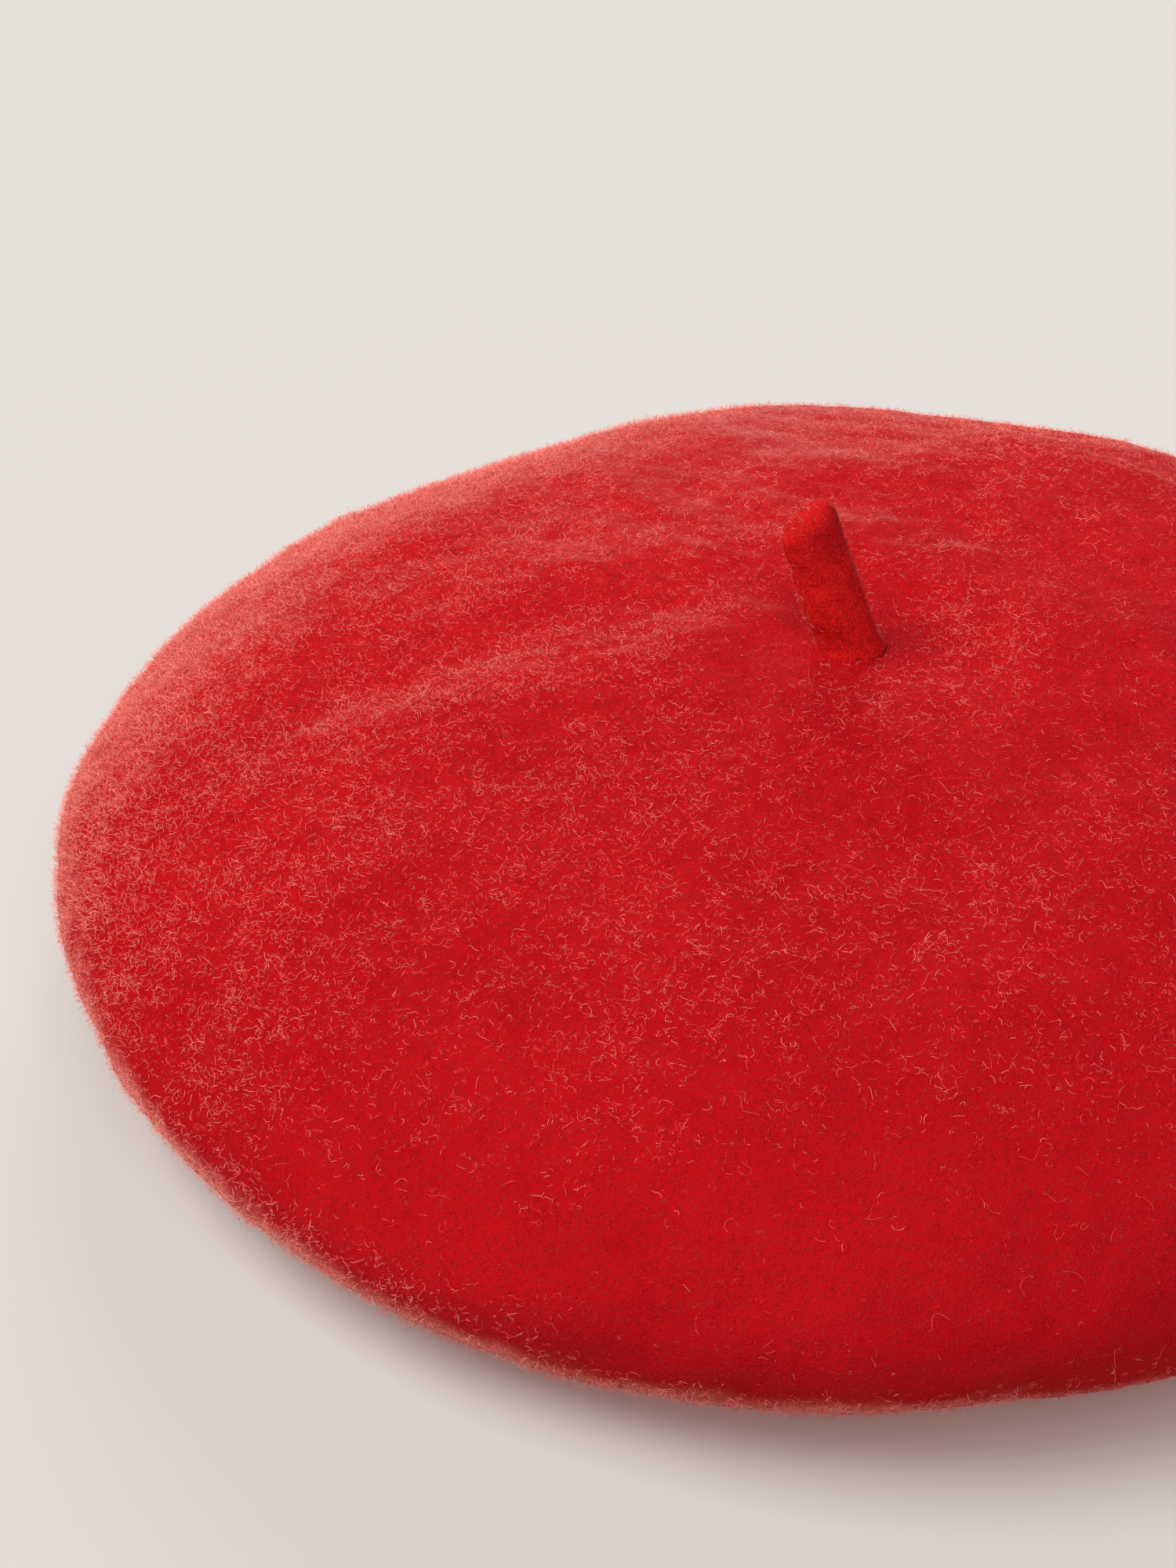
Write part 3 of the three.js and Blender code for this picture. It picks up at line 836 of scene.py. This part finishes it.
def make_stalk():
    share = np.linspace(0, 1, STALK_ROWS)
    along = -STALK_ROOT + (STALK_LENGTH + STALK_ROOT) * (1 - (1 - share) ** 1.5)
    radius = STALK_BASE + (STALK_TOP - STALK_BASE) * smooth(2 * MM, 20 * MM, along)
    radius += STALK_FLARE * np.exp(-(((along + STALK_ROOT) / (3.0 * MM)) ** 2))
    cap = np.clip((along - STALK_LENGTH + STALK_ROUNDING) / STALK_ROUNDING, 0, 1)
    radius *= (1 - 0.9999 * cap**2.6) ** (1 / 2.2)
    angle = full_turn(STALK_STEPS)
    side = radius[:, None] * np.cos(angle)
    deep = STALK_FLATNESS * radius[:, None] * np.sin(angle)
    slant = STALK_SLANT * smooth(12 * MM, STALK_LENGTH, along)[:, None]
    up = along[:, None] + slant * side
    side = side + STALK_BOW * np.sin(math.pi * share)[:, None]
    x = ROOT_X + side * math.cos(STALK_LEAN) - up * math.sin(STALK_LEAN)
    z = ROOT_Z + side * math.sin(STALK_LEAN) + up * math.cos(STALK_LEAN)
    rings = np.stack([x, ROOT_Y + deep, z], axis=-1)
    points = rings.reshape(-1, 3)
    rough = 0.11 * ripple(points, 9 * MM, 51) + 0.07 * ripple(points, 4 * MM, 52, 60)
    out = np.stack([np.broadcast_to(f(angle), side.shape) for f in (np.cos, np.sin)], axis=-1)
    rings[..., :2] += out * (rough * MM).reshape(side.shape)[..., None]
    first, last = rings[0].mean(axis=0), rings[-1].mean(axis=0)
    return belongs(capped("felt_stalk", rings[:-1], first, last, [STALK_LOOK]), None, "felt", "stalk")


def bends_with_stalk(piece):
    """Bakes the piece's placement into its mesh."""
    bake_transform(piece)


def above_felt(middle, normal):
    return np.where(middle[:, 2] > ROOT_Z - 3.2 * MM, 1.0, 0)


def make_stalk_and_nap():
    stalk = make_stalk()
    for piece in nap("stalk_nap", stalk, STALK_FIBRES, 42, above_felt, lift=0.6, bloom=0.3):
        bends_with_stalk(belongs(piece, None, "felt"))
    bends_with_stalk(stalk)


# ---- Under the stalk: the root knot and its tack stitches ----

KNOT_CENTRE = np.array([ROOT_X, 0, 48.1 * MM])
KNOT_RADIUS = 3.3 * MM
KNOT_YARN = 0.85 * MM
TACK_RADIUS = 8 * MM
TACK_HEIGHT = 49.9 * MM
TACKS = 14
TACK_REACH = 2.6 * MM
TACK_SLANT = 0.22  # radians round the ring, from end to end


def make_root_knot():
    t = full_turn(240)
    reach = KNOT_RADIUS + 1.25 * MM * np.cos(5 * t)
    path = np.c_[reach * np.cos(2 * t), reach * np.sin(2 * t), 1.15 * MM * np.sin(5 * t)]
    knot = closed_tube("root_knot_yarn", path + KNOT_CENTRE, KNOT_YARN, 10, [RED_THREAD])
    belongs(knot, HAT, "thread", "stalk_root_knot")
    s = np.linspace(0, 1, 9)[:, None]
    tails = []
    for towards, droop in ((0.6, -1.1), (2.9, -1.3), (4.6, -0.9)):
        out = np.array([math.cos(towards), math.sin(towards), 0])
        side = np.array([-out[1], out[0], 0])
        down = np.array([0, 0, droop * MM])
        tails.append(KNOT_CENTRE + out * (1 + 4 * s) * MM + side * 0.8 * MM * np.sin(3 * s) + down * s * s)
    belongs(strands("root_knot_tails", np.array(tails), np.full(3, 0.5 * MM), 8, [RED_THREAD]), HAT, "thread")


def make_tack_stitches():
    """Slanted whip stitches that hold the root to the felt's inside."""
    middle = full_turn(TACKS)[:, None]
    t = np.linspace(0, 1, 8)[None]
    radius = TACK_RADIUS + (t - 0.5) * TACK_REACH
    angle = middle + (t - 0.5) * TACK_SLANT
    x = ROOT_X + radius * np.cos(angle)
    z = TACK_HEIGHT - 0.35 * MM * np.sin(math.pi * t) + 0 * angle
    path = np.stack([x, radius * np.sin(angle), z], axis=-1)
    row = strands("tack_stitches", path, np.full(TACKS, 0.28 * MM), 8, [RED_THREAD])
    belongs(row, HAT, "thread", "stalk_tack_thread")


# ---- The sweatband and what is in and on it ----

# The band's section from the seam, up the wall and over the hem: radius and height in millimetres.
BAND_FOOT = [(98.5, 3.95), (95, 3.95), (91.4, 4.0), (89.9, 4.6), (89.55, 6.2), (89.5, 10)]
BAND_TOP = [(89.6, 16), (89.55, 20.4), (89.75, 22.1), (90.7, 22.6)]
BAND_HEM = [(91.65, 22.1), (91.85, 20.4), (91.8, 13.2)]
BAND_STEPS = 420
BAND_GAP = 0.4 * MM
HEM_STITCH_HEIGHT = 14.4 * MM
JOINT_TAB = (14 * MM, 5 * MM, 21 * MM)
JOINT_TAB_RADIUS = 88.35 * MM


def worn(points):
    """The soft band isn't quite round or even."""
    x, y, z = points.T
    radius = np.hypot(x, y)
    push = 0.22 * MM * ripple(points, 45 * MM, 61) * smooth(4 * MM, 12 * MM, z)
    grow = 1 + push / radius
    uneven = 0.12 * MM * ripple(points, 30 * MM, 62) * smooth(10 * MM, 20 * MM, z)
    return np.c_[x * grow, y * grow, z + uneven]


def ring_line(radius, height):
    """A circle about the hat's axis, as a function of the share of the way round from the back."""
    def line(share):
        angle = math.pi / 2 + 2 * math.pi * share
        return np.c_[radius * np.cos(angle), radius * np.sin(angle), np.full_like(angle, height)]

    return line


def towards_axis(share):
    return -ring_line(1, 0)(share)


def fixed(direction):
    return lambda share: np.broadcast_to(np.asarray(direction, float), (len(share), 3))


DOWN = fixed((0, 0, -1))
FORWARDS = fixed((0, -1, 0))


def make_sweatband():
    path = rounded(np.array(BAND_FOOT + BAND_TOP + BAND_HEM) * MM)
    gap = BAND_GAP / BAND_INNER_RADIUS
    start, end = math.pi / 2 + gap, math.pi * 5 / 2 - gap
    section = outline(path, LEATHERETTE)
    band = turned_strip("leatherette_band", section, start, end, BAND_STEPS, [LEATHERETTE_LOOK], worn)
    belongs(band, HAT, "leatherette", "sweatband")

    def inside(share):
        return worn(ring_line(BAND_INNER_RADIUS - 0.05 * MM, HEM_STITCH_HEIGHT)(0.004 + share * 0.992))

    sew("band_hem_stitches", inside, towards_axis)


# Inside the hem: radius and height in millimetres.
ELASTIC_SECTION = [(91.0, 14.5), (91.0, 21.5), (90.4, 21.5), (90.4, 14.5)]


def make_elastic():
    pitch = math.radians(0.75)
    look = ribbed_look("braided_elastic", (0.80, 0.77, 0.70), (0.50, 0.46, 0.40), pitch, 1.1 * MM, 0.85)
    elastic = turned_ring("elastic_braid", np.array(ELASTIC_SECTION) * MM, 360, [look], worn)
    belongs(elastic, HAT, "elastic", "sweatband_elastic")


def on_band(x, height, radius):
    """Points of a flat plate (x across, height) bent round the inside of the band, at the back."""
    angle = math.pi / 2 - x / radius
    return np.stack([radius * np.cos(angle), radius * np.sin(angle), height], axis=-1)


def soft_rectangle(width, low, high, corner):
    """A grid of x and height over a rectangle with rounded corners."""
    u = np.linspace(-1, 1, 29)[None]
    v = np.linspace(-1, 1, 25)[:, None]
    half_width, half_height = width / 2, (high - low) / 2
    pinch_x = corner / half_width * 0.3 * np.abs(v) ** 6 * np.abs(u) ** 3
    pinch_z = corner / half_height * 0.3 * np.abs(u) ** 6 * np.abs(v) ** 3
    x = half_width * u * (1 - pinch_x)
    z = (low + high) / 2 + half_height * v * (1 - pinch_z)
    return x, z


def rectangle_line(width, low, high):
    """The way round a rectangle as (x, height), as a function of the share of its length."""
    half = width / 2
    corners = np.array([[-half, low], [half, low], [half, high], [-half, high], [-half, low]])
    lengths = np.r_[0, np.cumsum(np.linalg.norm(np.diff(corners, axis=0), axis=1))]

    def line(share):
        at = (share % 1) * lengths[-1]
        return np.c_[np.interp(at, lengths, corners[:, 0]), np.interp(at, lengths, corners[:, 1])]

    return line


def make_joint_tab():
    width, low, high = JOINT_TAB
    x, z = soft_rectangle(width, low, high, 2.5 * MM)
    tab = slab("joint_tab_patch", on_band(x, z, JOINT_TAB_RADIUS), 0.75 * MM, [LEATHERETTE_LOOK])
    belongs(tab, HAT, "leatherette", "sweatband_joint_tab")
    way = rectangle_line(width - 2.4 * MM, low + 1.2 * MM, high - 1.2 * MM)

    def line(share):
        return on_band(*way(share).T, JOINT_TAB_RADIUS - 0.36 * MM)

    sew("joint_tab_stitches", line, FORWARDS)


# On the band's foot: radius and height in millimetres.
TAPE_MIDDLE = [(91.2, 5.05), (93, 5.1), (95, 5.0), (97, 5.1), (98.4, 5.05)]
TAPE_THICKNESS = 0.5 * MM


def make_stay_tape():
    section = outline(rounded(np.array(TAPE_MIDDLE) * MM), TAPE_THICKNESS)
    pitch = math.radians(0.55)
    look = ribbed_look("black_grosgrain", (0.016, 0.012, 0.013), (0.004, 0.003, 0.003), pitch, 3 * MM, 0.8)
    tape = turned_ring("grosgrain_tape", section, 420, [look], slumped)
    belongs(tape, HAT, "grosgrain", "opening_stay_tape")


def make_opening_stitches():
    sew("opening_stitches", ring_line(SEAM_RADIUS, 0.75 * MM), DOWN)


# ---- The lining ----


def crown_creases(points):
    """Soft creases that run out from the middle of the lining, flat under the maker's label."""
    x, y, z = points.T
    radius, angle = np.hypot(x, y), np.arctan2(y, x)
    wander = 0.5 * ripple(points[:, :2], 60 * MM, 71)
    folds = np.sin(19 * angle + 3 * wander) * 0.35 + np.sin(31 * angle + 2 + 4 * wander) * 0.2
    out = smooth(30 * MM, 105 * MM, radius)
    drop = 0.5 * MM * ripple(points[:, :2], 38 * MM, 72) * smooth(24 * MM, 45 * MM, radius)
    return slumped(np.c_[x, y, z + folds * out * MM * 1.3 + drop * (1 - 0.5 * out)])


def make_lining_crown():
    edge = LINING_SEAM_RADIUS - 0.4 * MM
    middle = dome_points(LINING_RADIUS, LINING_CREST, LINING_DIP, 0, edge, 60)
    half = np.array([0, SATIN / 2])
    profile = np.vstack([middle - half, (middle + half)[::-1]])
    disc = turned_solid("lining_disc", profile, 420, [SATIN_LOOK], crown_creases)
    belongs(disc, HAT, "satin", "lining_crown")


def side_gathers(points):
    """Small gathers that grow towards the opening, and soft creases over the rest."""
    x, y, z = points.T
    radius, angle = np.hypot(x, y), np.arctan2(y, x)
    under = smooth(24 * MM, 8 * MM, z)
    wander = ripple(points[:, :2], 70 * MM, 73)
    gathers = np.sin(64 * angle + 2.5 * wander) + 0.5 * np.sin(97 * angle - 3 * wander)
    creases = np.sin(23 * angle + 1.5 * wander)
    push = (0.5 * under * gathers + 0.4 * (1 - under) * creases) * smooth(92 * MM, 97 * MM, radius)
    up = np.where(z > RIM_HEIGHT, 1, -1) * smooth(LINING_RADIUS, LINING_RADIUS - 22 * MM, radius)
    shrink = 1 - push * MM * (1 - np.abs(up)) / radius
    return slumped(np.c_[x * shrink, y * shrink, z - push * MM * up])


def make_lining_side():
    start = LINING_SEAM_RADIUS + 0.3 * MM
    upper = dome_points(LINING_RADIUS, LINING_CREST, LINING_DIP, start, LINING_RADIUS, 22)
    lower = tuck_points(LINING_RADIUS, LINING_FLOOR, 22)
    inner = np.linspace(FOOT_RADIUS, LINING_INNER_RADIUS, 8)[1:]
    path = np.vstack([upper, lower, np.c_[inner, np.full(len(inner), LINING_FLOOR)]])
    section = outline(path[::-1], SATIN, 2)
    ring = turned_ring("lining_skirt", section, 720, [SATIN_LOOK], side_gathers)
    belongs(ring, HAT, "satin", "lining_side")


def make_lining_stitches():
    radius = LINING_SEAM_RADIUS
    height = dome(radius, LINING_RADIUS, LINING_CREST, LINING_DIP) - 0.55 * MM

    def line(share):
        return slumped(ring_line(radius, height)(share))

    sew("lining_stitches", line, DOWN)


# ---- The labels ----

MAKER_LABEL = (50 * MM, 24 * MM)
MAKER_LABEL_HEIGHT = dome(0, LINING_RADIUS, LINING_CREST, LINING_DIP) - 0.75 * MM
CARE_WIDTH = 30 * MM
CARE_DROP = 25.6 * MM
CARE_HALF_GAP = 0.22 * MM  # from the middle of the fold to each of its two leaves
CARE_ROOM = 0.35 * MM  # for the turn at the fold
CARE_GRID = (24, 31)  # points down one leaf, and across
SIZE_WIDTH = 12 * MM
SIZE_DROP = 13.8 * MM


def make_maker_label():
    """Blank, with its two short ends folded under, sewn flat to the lining."""
    width, depth = MAKER_LABEL
    x, y = np.meshgrid(np.linspace(-width / 2, width / 2, 81), np.linspace(-depth / 2, depth / 2, 33))
    cushion = 0.12 * MM * ripple(np.c_[x.ravel(), y.ravel()], 14 * MM, 81).reshape(x.shape)
    middle = np.stack([x, y, MAKER_LABEL_HEIGHT + cushion], axis=-1)
    folded = 0.28 * MM + 0.16 * MM * smooth(19 * MM, 19.6 * MM, np.abs(x))
    label = slab("maker_label_blank", middle, folded, [LABEL_LOOK])
    belongs(label, HAT, "woven_label", "maker_label")
    way = rectangle_line(width - 3.2 * MM, -depth / 2 + 1.6 * MM, depth / 2 - 1.6 * MM)

    def line(share):
        return np.c_[way(share), np.full(len(share), MAKER_LABEL_HEIGHT - 0.22 * MM)]

    sew("maker_label_stitches", line, DOWN)


def make_care_label():
    """One ribbon folded in half, its two ends sewn into the lining and its fold hanging."""
    x0, y0, z0 = HINGES["care_label_swing"]
    straight = CARE_DROP - CARE_ROOM
    turn = np.linspace(0, math.pi, 9)[1:-1]
    rows, columns = CARE_GRID
    front = np.c_[np.full(rows, -CARE_HALF_GAP), -np.linspace(0, straight, rows)]
    bottom = np.c_[-CARE_HALF_GAP * np.cos(turn), -straight - CARE_HALF_GAP * np.sin(turn)]
    path = np.vstack([front, bottom, front[::-1] * np.array([-1, 1])])
    across = np.linspace(-CARE_WIDTH / 2, CARE_WIDTH / 2, columns)
    (x, depth), (_, z) = np.meshgrid(across, path[:, 0]), np.meshgrid(across, path[:, 1])
    low = smooth(0, -CARE_DROP, z)
    curl = low * (0.5 * MM * np.sin(x / CARE_WIDTH * 4.2 + 0.4) - 0.25 * MM)
    middle = np.stack([x0 + x, y0 + depth + curl, z0 + z], axis=-1)
    label = slab("care_label_ribbon", middle, 0.2 * MM, [LABEL_LOOK])
    belongs(label, CARE_LABEL, "woven_label", "care_label")


def make_size_tab():
    x0, y0, z0 = HINGES["size_tab_flip"]
    across = np.linspace(-SIZE_WIDTH / 2, SIZE_WIDTH / 2, 25)
    y, drop = np.meshgrid(across, np.linspace(0, SIZE_DROP, 27))
    curl = -0.14 * MM * (drop / SIZE_DROP) ** 2 - y**2 / 2 / BAND_INNER_RADIUS
    middle = np.stack([x0 + curl, y0 + y, z0 - drop], axis=-1)
    tab = slab("size_tab_blank", middle, 0.3 * MM, [LABEL_LOOK])
    belongs(tab, SIZE_TAB, "woven_label", "size_tab")


# ---- Floor and light ----

FLOOR_COLOUR = (0.85, 0.913, 0.866)
FLOOR_HALF = 60.0
FLOOR_LEVEL = -0.2 * MM
FLOOR_LIT = 0.482
FLOOR_GLOW = (0.14, 0.056, 0.049)  # for the light that the red felt and the pale floor exchange
SKY_COLOUR = (1.0, 0.995, 0.99, 1)
SKY_STRENGTH = 0.08
SUN_COLOUR = (1.0, 0.995, 0.985)
BACKDROP = (0.800, 0.765, 0.718)  # seen behind the floor, without lighting anything
# Strength, softness, tilt about X (negative: from the back) and about Y (negative: from the left).
SUNS = {
    "soft_key": (3.2, math.radians(40), math.radians(3), math.radians(-35)),
    "front_fill": (1.75, math.radians(55), math.radians(40), 0),
    "back_light": (1.5, math.radians(30), math.radians(-66), 0),
}


def make_floor():
    corners = FLOOR_HALF * np.array([[-1, -1], [1, -1], [1, 1], [-1, 1]])
    lit = tuple(FLOOR_LIT * c for c in FLOOR_COLOUR)
    look = Look("pale_floor", Base_Color=lit, Roughness=0.8, Specular_IOR_Level=0.1)
    look.set(Emission_Color=FLOOR_GLOW, Emission_Strength=1.0)
    ground = np.c_[corners, np.full(4, FLOOR_LEVEL)]
    floor = new_mesh("floor", ground, [np.array([[0, 1, 2, 3]])], [look.material])


def make_light():
    world = bpy.data.worlds.new("studio")
    bpy.context.scene.world = world
    world.use_nodes = True
    nodes, links = world.node_tree.nodes, world.node_tree.links
    sky = nodes["Background"]
    sky.inputs["Color"].default_value = SKY_COLOUR
    sky.inputs["Strength"].default_value = SKY_STRENGTH
    backdrop = nodes.new("ShaderNodeBackground")
    backdrop.inputs["Color"].default_value = (*BACKDROP, 1)
    seen = nodes.new("ShaderNodeLightPath")
    choose = nodes.new("ShaderNodeMixShader")
    for i, output in enumerate((seen.outputs["Is Camera Ray"], sky.outputs[0], backdrop.outputs[0])):
        links.new(output, choose.inputs[i])
    links.new(choose.outputs[0], nodes["World Output"].inputs["Surface"])
    for name, (strength, softness, tilt_x, tilt_y) in SUNS.items():
        data = bpy.data.lights.new(name, "SUN")
        data.energy = strength
        data.angle = softness
        data.color = SUN_COLOUR
        sun = bpy.data.objects.new(name, data)
        sun.rotation_euler = (tilt_x, tilt_y, 0)
        bpy.context.scene.collection.objects.link(sun)


# ---- Build ----

make_camera()
shell = make_felt_body()
make_nap(shell)
make_stalk_and_nap()
make_root_knot()
make_tack_stitches()
make_sweatband()
make_elastic()
make_joint_tab()
make_stay_tape()
make_opening_stitches()
make_lining_crown()
make_lining_side()
make_lining_stitches()
make_maker_label()
make_care_label()
make_size_tab()
make_floor()
make_light()

view = bpy.context.scene.view_settings
view.view_transform = "Standard"
view.look = "None"
